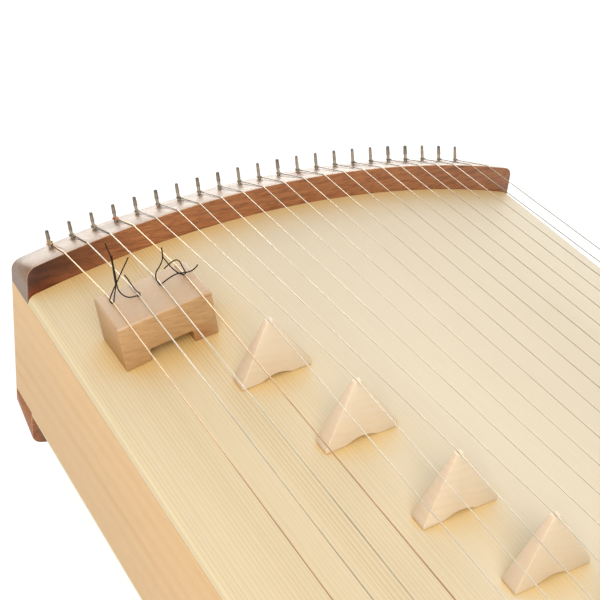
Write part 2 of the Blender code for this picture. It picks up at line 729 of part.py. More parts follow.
def build_monochord(maple, steel):
    """The lower side's fixed bridges, and its strings with their pins and hitch plate."""
    ys = [mono_y(index) for index in range(MONO_COUNT)]
    half = ys[-1] + MONO_BRIDGE_OVERHANG
    for name, end in (("monochord_bridge_pin_end", -1), ("monochord_bridge_far_end", 1)):
        middle = end * (INNER_X - MONO_BRIDGE_X)
        bm = bmesh.new()
        add_slab(bm, stations(half), lambda x, y: board_top(y) + MONO_BRIDGE_HEIGHT,
                 lambda x, y: board_top(y) + CLEARANCE,
                 middle - MONO_BRIDGE_THICKNESS / 2, middle + MONO_BRIDGE_THICKNESS / 2, lower=True)
        finish(name, bm, maple)

    pins = bmesh.new()
    strings = bmesh.new()
    turn = INNER_X - MONO_BRIDGE_X
    half_top = MONO_BRIDGE_THICKNESS / 2
    rings = [circle(PIN_RADIUS, -PIN_DEPTH, 6), circle(PIN_RADIUS, PIN_EXPOSED, 6)]
    for index, y in enumerate(ys):
        frame = mono_pin_frame(index)
        add_turned(pins, frame, rings)
        top = flip(board_top(y) + MONO_BRIDGE_HEIGHT + MONO_WIRE + CLEARANCE)
        route = [frame @ Vector((0, 0, COIL_START)), nut_point(y, MONO_WIRE, -1, True),
                 (-turn - half_top, y, top), (turn + half_top, y, top),
                 nut_point(y, MONO_WIRE, 1, True), hitch_end(y, True)]
        add_tube(strings, route, MONO_WIRE, STRING_SIDES)
    shapes = [hitch_plate(ys[-1] + HITCH_PLATE_MARGIN, True), hitch_pins(ys, True), strings, pins]
    finish("monochord_string_set", joined("monochord_string_set", shapes), steel, smooth=True)


def main():
    clear_scene()
    spruce = material("spruce", (0.80, 0.68, 0.42), 0.55)
    side_wood = material("side_wood", (0.72, 0.51, 0.30), 0.5)
    walnut = material("walnut", (0.17, 0.075, 0.04), 0.4)
    maple = material("bridge_wood", (0.80, 0.60, 0.42), 0.5)
    block_wood = material("block_wood", (0.62, 0.42, 0.28), 0.5)
    pin_steel = material("pin_steel", (0.35, 0.32, 0.28), 0.35, 1.0)
    string_steel = material("string_steel", (0.70, 0.70, 0.68), 0.25, 1.0)
    cotton = material("thread", (0.02, 0.02, 0.025), 0.8)
    rubber = material("rubber", (0.03, 0.03, 0.03), 0.8)
    build_boards(spruce, side_wood, walnut)
    build_braces(spruce)
    build_feet(rubber)
    build_tuning_pins(pin_steel)
    build_koto_bridges(maple)
    build_tanpura(block_wood, cotton)
    build_upper_strings(string_steel)
    build_monochord(maple, string_steel)


main()
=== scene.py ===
"""Looks of the kotamo: eased woods with their grain, strings, wound tuning pins and bridge threads."""
import json
import math
import random

import bmesh
import bpy
from mathutils import Matrix, Vector

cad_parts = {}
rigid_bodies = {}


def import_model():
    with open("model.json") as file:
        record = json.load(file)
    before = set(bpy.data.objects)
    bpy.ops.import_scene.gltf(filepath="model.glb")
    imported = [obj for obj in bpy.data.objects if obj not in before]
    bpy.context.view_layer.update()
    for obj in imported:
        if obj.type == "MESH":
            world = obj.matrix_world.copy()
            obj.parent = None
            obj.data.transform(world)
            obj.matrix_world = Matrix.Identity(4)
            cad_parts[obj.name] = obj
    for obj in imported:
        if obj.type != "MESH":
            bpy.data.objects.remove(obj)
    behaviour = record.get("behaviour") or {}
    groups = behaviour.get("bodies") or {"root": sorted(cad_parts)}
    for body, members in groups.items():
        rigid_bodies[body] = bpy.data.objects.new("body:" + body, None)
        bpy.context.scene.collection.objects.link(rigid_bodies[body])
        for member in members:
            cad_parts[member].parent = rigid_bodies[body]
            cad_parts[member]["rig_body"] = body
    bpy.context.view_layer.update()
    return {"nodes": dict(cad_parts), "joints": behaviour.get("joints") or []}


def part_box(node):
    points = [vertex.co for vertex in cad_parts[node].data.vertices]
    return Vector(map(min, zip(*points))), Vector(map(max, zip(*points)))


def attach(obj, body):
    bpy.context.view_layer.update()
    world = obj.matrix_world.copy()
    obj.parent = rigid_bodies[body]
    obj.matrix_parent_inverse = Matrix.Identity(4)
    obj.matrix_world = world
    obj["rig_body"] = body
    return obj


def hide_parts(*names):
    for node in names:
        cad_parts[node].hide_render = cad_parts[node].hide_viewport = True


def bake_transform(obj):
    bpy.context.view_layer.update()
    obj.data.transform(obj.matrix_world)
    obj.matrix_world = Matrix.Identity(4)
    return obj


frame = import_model()

MM = 0.001

# Camera, as the photograph was taken
CAMERA_PLACE = (0.2285, -0.4730, 0.7322)
CAMERA_FORWARD = (-0.70577, 0.43992, -0.55529)
CAMERA_ROLL = math.radians(5.497)
CAMERA_LENS = 83.15

# Sizes that the CAD solids have too
BOARD_RADIUS = 0.730
NUT_RADIUS = 0.753
STRING_COUNT = 22
TANPURA_COUNT = 4
STRING_SPACING = 17.4 * MM
STRING_SHIFT = 0.7 * MM
TANPURA_MIDDLE = -158.2 * MM
TANPURA_SPACING = 16.7 * MM
KOTO_WIRE = 0.3 * MM
TANPURA_WIRE = 0.45 * MM
MONO_COUNT = 20
MONO_SPACING = 13 * MM
MONO_WIRE = 0.3 * MM
BRIDGE_HEIGHT = 42.8 * MM
BRIDGE_TIP = 3.8 * MM
BLOCK_HEIGHT = 35.2 * MM
BLOCK_Y = -151.0 * MM
EDGE_SETBACK = 1.2 * MM
EDGE_LIFT = 0.6 * MM
THREAD_SETBACK = 15.2 * MM
THREAD_RADIUS = 0.42 * MM
THREAD_LIFT = 1.6 * MM
PIN_RADIUS = 1.2 * MM
PIN_NECK = 2.4 * MM
PIN_HEAD = 2.0 * MM
PIN_SHOULDER = 5.4 * MM
PIN_EXPOSED = 12.5 * MM
PIN_DEPTH = 34 * MM
PIN_SETBACK = 27.5 * MM
PIN_LEAN = math.radians(22.0)
PIN_FAN_RADIUS = 1.97
COIL_START = 1.0 * MM
HITCH_SETBACK = 17 * MM
HITCH_RADIUS = 1.25 * MM
HITCH_EXPOSED = 5.5 * MM
HITCH_LEAN = math.radians(12.0)
PLATE_WIDTH = 8 * MM
PLATE_THICKNESS = 1.5 * MM
MONO_BRIDGE_HEIGHT = 23.5 * MM
MONO_BRIDGE_X = 100 * MM
CLEARANCE = 0.3 * MM

BOARD_LOW, BOARD_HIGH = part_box("upper_soundboard")
UNDER_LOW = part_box("lower_soundboard")[0]
END_LOW, END_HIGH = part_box("end_board_pin_end")
CREST_Z = BOARD_HIGH.z
MIDDLE_Z = (CREST_Z + UNDER_LOW.z) / 2
NUT_X = END_HIGH.x
INNER_X = -NUT_X
NUT_CREST = END_HIGH.z
OUTER_CREST = CREST_Z + 9.2 * MM
OUTER_RADIUS = 0.740
END_THICKNESS = END_HIGH.x - END_LOW.x

random.seed(7)


def deselect():
    if bpy.context.object and bpy.context.object.mode != "OBJECT":
        bpy.ops.object.mode_set(mode="OBJECT")
    bpy.ops.object.select_all(action="DESELECT")


def activate(piece):
    deselect()
    piece.select_set(True)
    bpy.context.view_layer.objects.active = piece


def select_faces(piece, wanted):
    """In edit mode, select the faces that a test on the face wants."""
    shape = bmesh.from_edit_mesh(piece.data)
    bpy.ops.mesh.select_all(action="DESELECT")
    for face in shape.faces:
        if wanted(face):
            face.select_set(True)
    bmesh.update_edit_mesh(piece.data)


def select_edges(piece, wanted):
    """In edit mode, select the edges that a test on their two ends wants."""
    shape = bmesh.from_edit_mesh(piece.data)
    bpy.ops.mesh.select_all(action="DESELECT")
    for edge in shape.edges:
        if wanted(edge.verts[0].co, edge.verts[1].co):
            edge.select_set(True)
    bmesh.update_edit_mesh(piece.data)


def link(name, data):
    piece = bpy.data.objects.new(name, data)
    bpy.context.scene.collection.objects.link(piece)
    return piece


# Materials

def new_material(name):
    made = bpy.data.materials.new(name)
    made.use_nodes = True
    tree = made.node_tree
    return made, tree, tree.nodes["Principled BSDF"]


def node(tree, kind, **values):
    made = tree.nodes.new(kind)
    for key, value in values.items():
        if key in made.inputs:
            made.inputs[key].default_value = value
        else:
            setattr(made, key, value)
    return made


def ramp(tree, source, stops):
    made = tree.nodes.new("ShaderNodeValToRGB")
    band = made.color_ramp
    while len(band.elements) < len(stops):
        band.elements.new(0.5)
    for element, (place, colour) in zip(band.elements, stops):
        element.position = place
        element.color = (*colour, 1.0)
    tree.links.new(source, made.inputs["Fac"])
    return made.outputs["Color"]


def grey(tree, source, low, high, dark, light):
    """A factor from dark to light as the source goes from low to high."""
    made = node(tree, "ShaderNodeMapRange")
    made.inputs["From Min"].default_value = low
    made.inputs["From Max"].default_value = high
    made.inputs["To Min"].default_value = dark
    made.inputs["To Max"].default_value = light
    tree.links.new(source, made.inputs["Value"])
    return made.outputs["Result"]


def mixed(tree, kind, factor, a, b):
    made = tree.nodes.new("ShaderNodeMix")
    made.data_type = "RGBA"
    made.blend_type = kind
    for value, socket in ((factor, made.inputs[0]), (a, made.inputs[6]), (b, made.inputs[7])):
        if isinstance(value, bpy.types.NodeSocket):
            tree.links.new(value, socket)
        elif isinstance(value, tuple):
            socket.default_value = (*value, 1.0)
        else:
            socket.default_value = value
    return made.outputs[2]


def spot(tree, scale=(1, 1, 1), turn=(0, 0, 0), place=(0, 0, 0)):
    """Object coordinates, moved, turned and stretched."""
    coordinates = tree.nodes.new("ShaderNodeTexCoord")
    mapping = tree.nodes.new("ShaderNodeMapping")
    mapping.inputs["Location"].default_value = place
    mapping.inputs["Rotation"].default_value = turn
    mapping.inputs["Scale"].default_value = scale
    tree.links.new(coordinates.outputs["Object"], mapping.inputs["Vector"])
    return mapping.outputs["Vector"]


def noise(tree, vector, scale, detail=3.0, roughness=0.5):
    made = node(tree, "ShaderNodeTexNoise", Scale=scale, Detail=detail, Roughness=roughness)
    tree.links.new(vector, made.inputs["Vector"])
    return made.outputs["Fac"]


def bump(tree, shader, height, strength, distance):
    made = node(tree, "ShaderNodeBump", Strength=strength, Distance=distance)
    tree.links.new(height, made.inputs["Height"])
    tree.links.new(made.outputs["Normal"], shader.inputs["Normal"])


def edge_wear_and_highlight(tree, colour, light, amount, reach):
    """Paler wood along the corners: partly wear where hands rub it, partly a painted highlight along the arrises."""
    rounded = node(tree, "ShaderNodeBevel", samples=4)
    rounded.inputs["Radius"].default_value = reach
    geometry = tree.nodes.new("ShaderNodeNewGeometry")
    facing = node(tree, "ShaderNodeVectorMath", operation="DOT_PRODUCT")
    tree.links.new(rounded.outputs["Normal"], facing.inputs[0])
    tree.links.new(geometry.outputs["Normal"], facing.inputs[1])
    return mixed(tree, "MIX", grey(tree, facing.outputs["Value"], 0.995, 0.93, 0.0, amount), colour, light)


def wood(name, early, late, ring, pith, turn=(0, 0, 0), stretch=0.03, wander=2.5, tone=0.12, tone_size=9.0,
         fibre=0.10, pores=0.0, roughness=0.5, coat=0.0, profile="SAW", uneven=0.0, quiet_and_sheen=None, wear_and_highlight=0.0,
         shade=None, gloss=0.5, corner_shade=None, pale_edge=None, rim_highlight=None, coat_fade=False, lengthwise=True):
    """Timber cut from a log along its grain: rings round a pith, fibres along them, slow changes of tone.

    Corner shade is painted shade: a warmer, deeper colour in the wood's corners and beside what stands on it, where the
    light is blocked.
    """
    made, tree, shader = new_material(name)
    log = spot(tree, scale=(stretch, 1, 1), turn=turn, place=pith)
    if uneven:
        years = node(tree, "ShaderNodeTexNoise", Scale=110.0, Detail=1.0)
        tree.links.new(log, years.inputs["Vector"])
        moved = node(tree, "ShaderNodeVectorMath", operation="MULTIPLY_ADD")
        moved.inputs[1].default_value = (0, uneven, uneven)
        tree.links.new(years.outputs["Color"], moved.inputs[0])
        tree.links.new(log, moved.inputs[2])
        log = moved.outputs["Vector"]
    rings = node(tree, "ShaderNodeTexWave", wave_type="RINGS", rings_direction="X", wave_profile=profile,
                 Scale=0.314 / ring, Distortion=wander, Detail=2.0)
    rings.inputs["Detail Scale"].default_value = 0.12
    tree.links.new(log, rings.inputs["Vector"])
    strength = noise(tree, log, 34.0, 3.0)
    weight = node(tree, "ShaderNodeMath", operation="MULTIPLY")
    tree.links.new(rings.outputs["Fac"], weight.inputs[0])
    tree.links.new(grey(tree, strength, 0.35, 0.65, 0.25, 1.0), weight.inputs[1])
    depth = weight.outputs[0]
    if quiet_and_sheen:
        place = tree.nodes.new("ShaderNodeSeparateXYZ")
        tree.links.new(spot(tree), place.inputs["Vector"])
        calm = node(tree, "ShaderNodeMath", operation="MULTIPLY")
        tree.links.new(depth, calm.inputs[0])
        tree.links.new(grey(tree, place.outputs["Y"], quiet_and_sheen[0], quiet_and_sheen[1], 1.0, 0.25), calm.inputs[1])
        depth = calm.outputs[0]
    middle = tuple((a + b) / 2 for a, b in zip(early, late))
    colour = ramp(tree, depth, [(0.12, early), (0.70, middle), (0.98, late)])
    # paler, whiter board toward the koto side: partly the wood's own tone, partly a painted sheen
    if quiet_and_sheen:
        pale = grey(tree, place.outputs["Y"], quiet_and_sheen[0], quiet_and_sheen[1], 0.0, 1.0)
        colour = mixed(tree, "MULTIPLY", pale, colour, (1.00, 1.055, 1.18))
    along = (0.02, 1, 1) if lengthwise else (1, 0.02, 1)
    threads = noise(tree, spot(tree, scale=along), 1400.0, 2.0, 0.6)
    colour = mixed(tree, "MULTIPLY", 1.0, colour, ramp(tree, threads, [(0.3, (1 - fibre,) * 3), (0.7, (1, 1, 1))]))
    if pores:
        short = (0.14, 1, 1) if lengthwise else (1, 0.14, 1)
        dots = noise(tree, spot(tree, scale=short), 760.0, 3.0, 0.65)
        colour = mixed(tree, "MULTIPLY", grey(tree, dots, 0.46, 0.64, 0.0, pores), colour, (0.55, 0.38, 0.30))
    long = (0.3, 1, 1) if lengthwise else (1, 0.3, 1)
    slow = noise(tree, spot(tree, scale=long, place=(0.3, 0.1, 0.2)), tone_size, 3.0)
    colour = mixed(tree, "MULTIPLY", 1.0, colour, ramp(tree, slow, [(0.35, (1 - tone, 1 - tone * 1.1, 1 - tone * 1.3)),
                                                                   (0.65, (1, 1, 1))]))
    if shade:
        colour = shade(tree, colour)
    # pale corners: partly wear, partly a painted highlight, strongest on the walnut's arrises
    if wear_and_highlight:
        pale = pale_edge or tuple(min(1.0, c * 1.15 + 0.03) for c in early)
        colour = edge_wear_and_highlight(tree, colour, pale, wear_and_highlight, 1.2 * MM)
    # painted highlight: paler colour on the rounded-over edges that turn toward the sides
    if rim_highlight:
        colour = mixed(tree, "MULTIPLY", facing(tree, "Y", 0.40, 0.85, 0.0, 1.0), colour, rim_highlight)
    # painted shade: a warmer, deeper colour where surrounding parts block the light, taken from ambient occlusion
    if corner_shade:
        corner = node(tree, "ShaderNodeAmbientOcclusion", samples=8)
        corner.inputs["Distance"].default_value = 45 * MM
        colour = mixed(tree, "MULTIPLY", grey(tree, corner.outputs["AO"], 0.90, 0.48, 0.0, 1.0), colour, corner_shade)
    tree.links.new(colour, shader.inputs["Base Color"])
    tree.links.new(grey(tree, threads, 0.3, 0.7, roughness - 0.05, roughness + 0.07), shader.inputs["Roughness"])
    shader.inputs["Specular IOR Level"].default_value = gloss
    shader.inputs["Coat Weight"].default_value = coat
    shader.inputs["Coat Roughness"].default_value = 0.40
    if coat_fade:
        grained = node(tree, "ShaderNodeMath", operation="MULTIPLY")
        place = tree.nodes.new("ShaderNodeSeparateXYZ")
        tree.links.new(spot(tree), place.inputs["Vector"])
        low = product(tree, grey(tree, place.outputs["Z"], 0.120, 0.185, 0.05, coat), facing(tree, "X", 0.9, 0.6, 0.1, 1.0))
        tree.links.new(product(tree, low, grey(tree, place.outputs["Y"], -0.2095, -0.200, 0.3, 1.0)),
                       grained.inputs[0])
        tree.links.new(grey(tree, threads, 0.35, 0.65, 0.55, 1.0), grained.inputs[1])
        tree.links.new(grained.outputs[0], shader.inputs["Coat Weight"])
    bump(tree, shader, threads, 0.12, 0.0004)
    return made


def product(tree, a, b):
    made = node(tree, "ShaderNodeMath", operation="MULTIPLY")
    tree.links.new(a, made.inputs[0])
    tree.links.new(b, made.inputs[1])
    return made.outputs[0]


def facing(tree, axis, low, high, dark, light):
    """A factor from dark to light as a face turns towards an axis of the instrument, either way."""
    geometry = tree.nodes.new("ShaderNodeNewGeometry")
    parts = tree.nodes.new("ShaderNodeSeparateXYZ")
    tree.links.new(geometry.outputs["Normal"], parts.inputs["Vector"])
    reach = node(tree, "ShaderNodeMath", operation="ABSOLUTE")
    tree.links.new(parts.outputs[axis], reach.inputs[0])
    return grey(tree, reach.outputs[0], low, high, dark, light)


def inward(tree, low, high, dark, light):
    """A factor from dark to light as a face turns towards the middle of the instrument's length."""
    geometry = tree.nodes.new("ShaderNodeNewGeometry")
    turned = tree.nodes.new("ShaderNodeSeparateXYZ")
    tree.links.new(geometry.outputs["Normal"], turned.inputs["Vector"])
    place = tree.nodes.new("ShaderNodeSeparateXYZ")
    tree.links.new(spot(tree, scale=(-1 / INNER_X, 1, 1)), place.inputs["Vector"])
    return grey(tree, product(tree, turned.outputs["X"], place.outputs["X"]), low, high, dark, light)


def heartwood_shade_and_sheen(tree, colour):
    """A dark streak of heartwood near the rail's tanpura corner, darker and greyer where it reaches the top; painted
    shade on the inner face toward the koto end and, darker and redder, low down at the foot; tops and ends greyed in
    colour as a painted sheen.
    """
    place = tree.nodes.new("ShaderNodeSeparateXYZ")
    tree.links.new(spot(tree, turn=(-0.2165, 0, 0)), place.inputs["Vector"])
    cloud = noise(tree, spot(tree, scale=(1, 0.25, 1), turn=(0.18, 0, 0)), 85.0, 3.0, 0.6)
    side = grey(tree, place.outputs["Y"], -0.080, -0.158, 0.0, 1.0)
    high = grey(tree, place.outputs["Z"], 0.130, 0.160, 0.0, 1.0)
    broken = product(tree, product(tree, side, grey(tree, cloud, 0.35, 0.55, 0.75, 1.0)),
                     product(tree, high, inward(tree, 0.5, 0.9, 0.0, 1.0)))
    colour = mixed(tree, "MULTIPLY", broken, colour, (0.44, 0.22, 0.18))
    above = product(tree, broken, grey(tree, place.outputs["Z"], 0.2190, 0.2260, 0.0, 1.0))
    colour = mixed(tree, "MULTIPLY", above, colour, (0.32, 0.30, 0.30))
    upper = tree.nodes.new("ShaderNodeSeparateXYZ")
    tree.links.new(spot(tree), upper.inputs["Vector"])
    # painted shade: the inner face darker toward the koto end
    shadowed = product(tree, inward(tree, 0.5, 0.9, 0.0, 1.0), grey(tree, upper.outputs["Y"], 0.10, 0.20, 0.0, 1.0))
    colour = mixed(tree, "MULTIPLY", shadowed, colour, (0.80, 0.78, 0.72))
    # painted shade: the inner face darker and redder low down, at the foot
    low = grey(tree, upper.outputs["Z"], 0.035, 0.070, 1.0, 0.0)
    colour = mixed(tree, "MULTIPLY", product(tree, low, inward(tree, 0.5, 0.9, 0.0, 1.0)), colour, (0.56, 0.38, 0.22))
    # painted sheen: tops and ends greyed in colour, standing in for the grey sheen that lies on them
    tops_painted_sheen = product(tree, facing(tree, "X", 0.9, 0.6, 0.0, 1.0), grey(tree, upper.outputs["Z"], 0.150, 0.175, 0.0, 1.0))
    return mixed(tree, "MULTIPLY", tops_painted_sheen, colour, (0.62, 0.78, 0.90))


def end_grain_and_side_shade(tree, colour):
    """Darker, pinker colour on the faces turned along Y: partly end grain, partly painted shade on the bridges' sides.
    """
    return mixed(tree, "MULTIPLY", facing(tree, "Y", 0.35, 0.75, 0.0, 1.0), colour, (0.94, 0.87, 0.82))


def stain_shade_and_sheen(tree, colour):
    """A reddish stain round a knot in the tanpura bridge's koto-side foot, with a top greyed as a painted sheen and
    side faces darker, partly end grain, partly painted shade.
    """
    place = tree.nodes.new("ShaderNodeSeparateXYZ")
    tree.links.new(spot(tree, turn=(math.asin(BLOCK_Y / BOARD_RADIUS), 0, 0)), place.inputs["Vector"])
    # darker, more saturated side faces: partly end grain, partly painted shade
    colour = mixed(tree, "MULTIPLY", facing(tree, "Y", 0.35, 0.75, 0.0, 1.0), colour, (0.87, 0.72, 0.47))
    # painted sheen: the block's top greyed in colour, standing in for the sheen on it
    top_painted_sheen = grey(tree, place.outputs["Z"], 0.2508, 0.2520, 0.0, 1.0)
    colour = mixed(tree, "MIX", product(tree, top_painted_sheen, grey(tree, noise(tree, spot(tree), 90.0), 0.3, 0.7, 0.5, 0.8)),
                   colour, (0.385, 0.290, 0.205))
    knot = (-0.4391, -0.1310, 0.1960)
    far = node(tree, "ShaderNodeVectorMath", operation="DISTANCE")
    tree.links.new(spot(tree), far.inputs[0])
    far.inputs[1].default_value = knot
    rings = node(tree, "ShaderNodeTexWave", wave_type="RINGS", rings_direction="X", wave_profile="SIN",
                 Scale=0.314 / 0.0022, Distortion=2.0, Detail=1.0)
    tree.links.new(spot(tree, place=tuple(-v for v in knot), turn=(0, 0.3, 0)), rings.inputs["Vector"])
    near = grey(tree, far.outputs["Value"], 0.004, 0.013, 1.0, 0.0)
    colour = mixed(tree, "MULTIPLY", near, colour, (0.84, 0.70, 0.68))
    return mixed(tree, "MULTIPLY", product(tree, near, grey(tree, rings.outputs["Fac"], 0.6, 0.95, 0.0, 0.6)), colour,
                 (0.72, 0.58, 0.52))


def metal(name, colour, roughness, streak=(0.02, 1, 1), stain=None, shine=1.0, tips=False):
    """Drawn or plated metal with fine marks and uneven shine, and darker toward the tips."""
    made, tree, shader = new_material(name)
    marks = noise(tree, spot(tree, scale=streak), 900.0, 3.0, 0.6)
    dark = tuple(c * 0.72 for c in colour)
    surface = ramp(tree, marks, [(0.3, dark), (0.65, colour)])
    if stain:
        cloud = noise(tree, spot(tree), 260.0, 2.0)
        surface = mixed(tree, "MIX", grey(tree, cloud, 0.45, 0.7, 0.0, 0.7), surface, stain)
    if tips:
        height = node(tree, "ShaderNodeAttribute", attribute_name="height")
        surface = mixed(tree, "MULTIPLY", grey(tree, height.outputs["Fac"], 0.72, 0.95, 0.0, 1.0), surface,
                        (0.55, 0.58, 0.60))
    tree.links.new(surface, shader.inputs["Base Color"])
    shader.inputs["Metallic"].default_value = shine
    tree.links.new(grey(tree, marks, 0.3, 0.7, roughness + 0.1, roughness - 0.05), shader.inputs["Roughness"])
    bump(tree, shader, marks, 0.08, 0.0001)
    return made


def string_metal(name, bright, far_colour, roughness, rail=0.85):
    """Drawn wire with painted reflection and shade: bright near the tanpura corner and dimmer along the playing length,
    partly tarnish and partly a painted change of reflection; painted dimmer on the koto side beyond the nut and on the
    outermost strings, and painted dark where it crosses the rail.
    """
    made, tree, shader = new_material(name)
    place = tree.nodes.new("ShaderNodeSeparateXYZ")
    tree.links.new(spot(tree), place.inputs["Vector"])
    slant = tree.nodes.new("ShaderNodeSeparateXYZ")
    tree.links.new(spot(tree, turn=(0, 0, -0.518)), slant.inputs["Vector"])
    # bright near the tanpura corner, dimmer along the playing length: partly tarnish, partly a painted change of
    # reflection
    played_and_reflection = grey(tree, slant.outputs["X"], -0.43, -0.30, 0.0, 1.0)
    cloud = noise(tree, spot(tree, scale=(0.05, 1, 1)), 300.0, 2.0)
    surface = mixed(tree, "MIX", played_and_reflection, bright, far_colour)
    # painted reflection: the koto-side strings painted dimmer beyond the nut
    dimmed_reflection = product(tree, grey(tree, place.outputs["Y"], -0.05, 0.07, 0.0, 1.0),
                     grey(tree, place.outputs["X"], NUT_X + 0.022, NUT_X + 0.060, 0.0, 1.0))
    surface = mixed(tree, "MULTIPLY", dimmed_reflection, surface, (0.60, 0.575, 0.52))
    surface = mixed(tree, "MULTIPLY", 1.0, surface, ramp(tree, cloud, [(0.35, (0.8, 0.8, 0.8)), (0.65, (1, 1, 1))]))
    # painted shade: the outermost strings painted darker where they pass beyond the board
    outermost_painted_dark = grey(tree, place.outputs["Y"], 0.156, 0.162, 0.0, 1.0)
    surface = mixed(tree, "MULTIPLY", outermost_painted_dark, surface, (0.50, 0.49, 0.47))
    # painted shade: the wires painted dark where they run over the rail
    over_rail = grey(tree, place.outputs["X"], NUT_X - 0.0015, NUT_X, rail, 0.0)
    surface = mixed(tree, "MIX", over_rail, surface, (0.17, 0.14, 0.11))
    tree.links.new(surface, shader.inputs["Base Color"])
    shader.inputs["Metallic"].default_value = 1.0
    tree.links.new(grey(tree, cloud, 0.35, 0.65, roughness + 0.06, roughness - 0.04), shader.inputs["Roughness"])
    return made


def cotton():
    """Black twisted cotton with a dull nap."""
    made, tree, shader = new_material("black_cotton")
    twist = node(tree, "ShaderNodeTexWave", wave_type="BANDS", bands_direction="DIAGONAL",
                 Scale=0.314 / 0.0006, Distortion=1.0, Detail=2.0)
    tree.links.new(spot(tree), twist.inputs["Vector"])
    tree.links.new(ramp(tree, twist.outputs["Fac"], [(0.2, (0.007, 0.004, 0.003)), (0.9, (0.032, 0.021, 0.014))]),
                   shader.inputs["Base Color"])
    shader.inputs["Roughness"].default_value = 0.9
    shader.inputs["Specular IOR Level"].default_value = 0.15
    bump(tree, shader, twist.outputs["Fac"], 0.5, 0.0002)
    return made


def rubber():
    made, tree, shader = new_material("black_rubber")
    dust = noise(tree, spot(tree), 400.0, 3.0)
    tree.links.new(ramp(tree, dust, [(0.35, (0.012, 0.012, 0.012)), (0.7, (0.035, 0.034, 0.032))]),
                   shader.inputs["Base Color"])
    shader.inputs["Roughness"].default_value = 0.75
    bump(tree, shader, dust, 0.15, 0.0003)
    return made


SPRUCE = wood("spruce_board", (0.618, 0.523, 0.366), (0.515, 0.402, 0.234), 2.5 * MM, (0, 3.0, 0), stretch=0.01,
              wander=1.5, tone=0.05, fibre=0.05, roughness=0.55, gloss=0.08, uneven=0.006, quiet_and_sheen=(-0.14, -0.03),
              corner_shade=(1.11, 0.92, 0.56), rim_highlight=(1.08, 1.09, 1.06))
SIDE_WOOD = wood("side_wood", (0.665, 0.440, 0.220), (0.625, 0.388, 0.175), 13.0 * MM, (0.2, 0.12, 0.10),
                 turn=(0, 0.35, 0.02), stretch=0.12, wander=5.0, tone=0.07, fibre=0.05, pores=0.10, roughness=0.6,
                 profile="SIN")
WALNUT = wood("walnut", (0.375, 0.150, 0.055), (0.270, 0.104, 0.038), 6.0 * MM, (0.05, 0.1, -0.06),
              turn=(0, 0.03, math.pi / 2), stretch=0.06, wander=5.0, tone=0.13, tone_size=22.0, fibre=0.26, pores=0.70,
              roughness=0.45, coat=1.0, profile="SIN", wear_and_highlight=0.65, pale_edge=(0.62, 0.46, 0.33), shade=heartwood_shade_and_sheen, coat_fade=True, lengthwise=False)
BRIDGE_MAPLE = wood("bridge_maple", (0.665, 0.570, 0.445), (0.640, 0.542, 0.411), 5.5 * MM, (0.02, 0.05, 0.05),
                    turn=(0.1, 0.08, math.pi / 2), stretch=0.15, wander=3.0, tone=0.05, fibre=0.04, pores=0.05,
                    roughness=0.48, coat=0.1, profile="SIN", wear_and_highlight=0.02, shade=end_grain_and_side_shade, lengthwise=False)
BLOCK_WOOD = wood("block_wood", (0.520, 0.325, 0.161), (0.472, 0.278, 0.125), 4.5 * MM, (0.02, 0.35, 0.20),
                  turn=(0.2, 0.05, math.pi / 2), stretch=0.08, wander=3.0, tone=0.10, tone_size=30.0, fibre=0.16,
                  pores=0.28, roughness=0.45, coat=0.3, profile="SIN", wear_and_highlight=0.10, shade=stain_shade_and_sheen, lengthwise=False)
PIN_STEEL = metal("pin_steel", (0.30, 0.25, 0.20), 0.55, streak=(1, 1, 0.1), stain=(0.19, 0.155, 0.12), shine=0.55, tips=True)
COIL_STEEL = metal("coil_steel", (0.42, 0.35, 0.27), 0.45, stain=(0.20, 0.16, 0.12))
STRING_STEEL = string_metal("string_steel", (0.70, 0.64, 0.54), (0.62, 0.54, 0.42), 0.40)
DRONE_STEEL = string_metal("drone_steel", (0.76, 0.70, 0.60), (0.52, 0.45, 0.32), 0.60)
CLEAN_STEEL = string_metal("clean_steel", (0.70, 0.64, 0.54), (0.70, 0.64, 0.54), 0.40)
BRONZE = string_metal("string_bronze", (0.80, 0.58, 0.38), (0.48, 0.30, 0.17), 0.40, rail=0.15)
BRASS = metal("coil_brass", (0.62, 0.42, 0.24), 0.40, stain=(0.24, 0.14, 0.08))
COPPER = metal("coil_copper", (0.58, 0.24, 0.12), 0.40, stain=(0.28, 0.10, 0.05))
COTTON = cotton()
RUBBER = rubber()


# Wooden pieces, from the solids

def ease_outline(piece, ease):
    """Ease the outline of an end board's two faces. The rims of its holes stay sharp."""
    reach = [corner.co.x for corner in piece.data.vertices]
    bpy.ops.object.mode_set(mode="EDIT")
    bpy.ops.mesh.select_all(action="DESELECT")
    shape = bmesh.from_edit_mesh(piece.data)
    for edge in shape.edges:
        a, b = (corner.co.x for corner in edge.verts)
        level = any(abs(a - x) < 0.01 * MM and abs(b - x) < 0.01 * MM for x in (min(reach), max(reach)))
        edge.select_set(level and edge.calc_face_angle(0) > math.radians(40))
    bmesh.update_edit_mesh(piece.data)
    bpy.ops.mesh.bevel(offset=ease, segments=2, affect="EDGES", clamp_overlap=True)
    bpy.ops.object.mode_set(mode="OBJECT")


